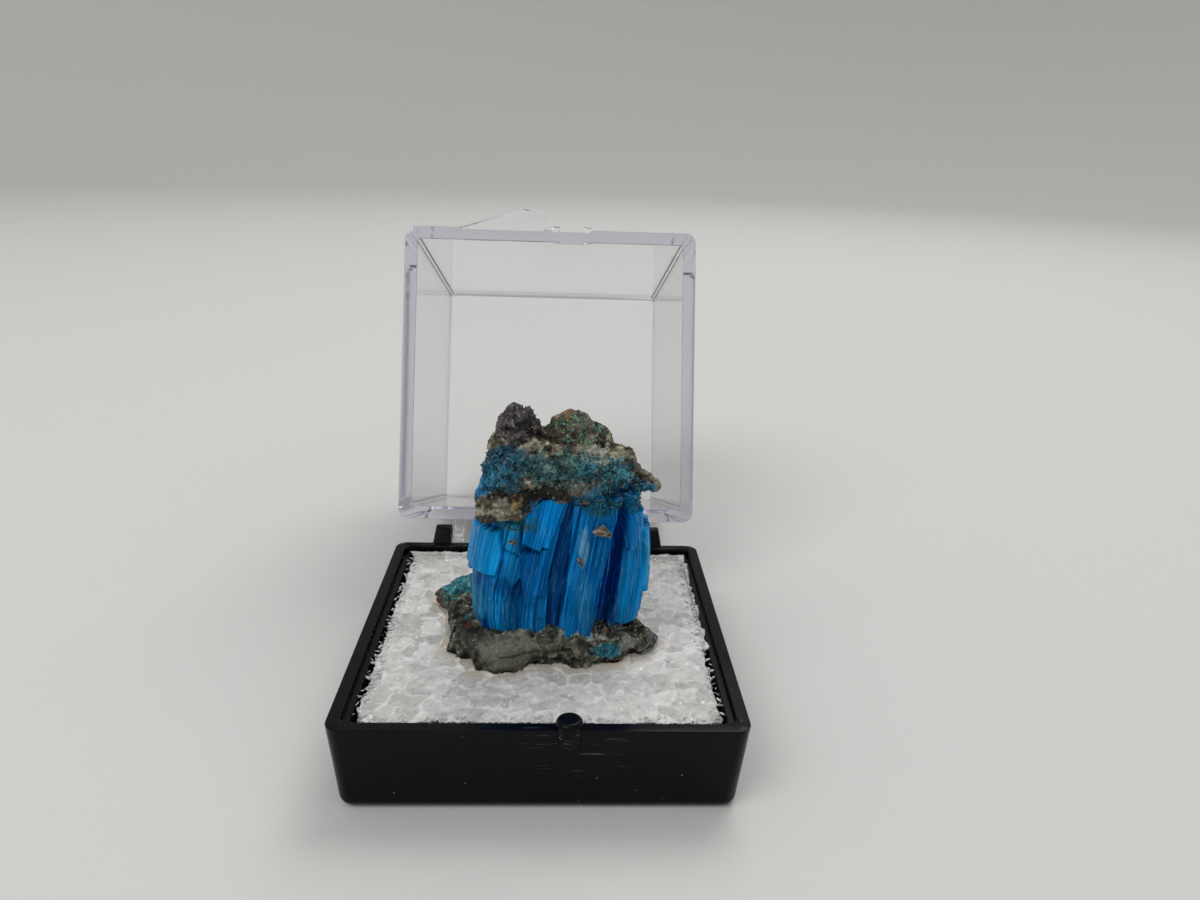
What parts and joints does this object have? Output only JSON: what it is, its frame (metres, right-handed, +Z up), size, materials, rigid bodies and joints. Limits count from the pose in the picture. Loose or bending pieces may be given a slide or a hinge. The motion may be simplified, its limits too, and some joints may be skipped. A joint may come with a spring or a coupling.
{
  "type": "mineral specimen in a hinged display box",
  "caption": "Chalcanthite specimen with blue fibrous crystals between two pieces of matrix rock, in a hinged box with a black tray, white foam and an open clear lid.",
  "frame": {"origin": "centre of the tray's underside", "axes": "+Z up, -Y towards the front of the tray, where its catch peg is, +X to the right seen from the front; the lid is hinged at +Y"},
  "size_m": [0.0322, 0.0712, 0.0415],
  "materials": {
    "black_polystyrene": "gloss, with light scratches and dust",
    "clear_polystyrene": "clear gloss",
    "expanded_polystyrene": "white beads, slightly glossy",
    "grey_matrix": "rough stone",
    "brown_matrix": "rough stone",
    "chalcanthite": "glassy to silky fibres, translucent"
  },
  "bodies": {
    "base": {"base_tray": "black_polystyrene", "foam_insert": "expanded_polystyrene", "lower_matrix": "grey_matrix", "chalcanthite_crystals": "chalcanthite", "upper_matrix": "brown_matrix", "chip_right": "brown_matrix", "chip_middle": "brown_matrix", "chip_left": "brown_matrix"},
    "lid": {"lid": "clear_polystyrene"}
  },
  "joints": [
    {"name": "lid_hinge", "type": "hinge", "parent": "base", "child": "lid", "pos_m": [0, 0.01746, 0.00815], "axis": [1, 0, 0], "range_deg": [0, 111.5]}
  ]
}
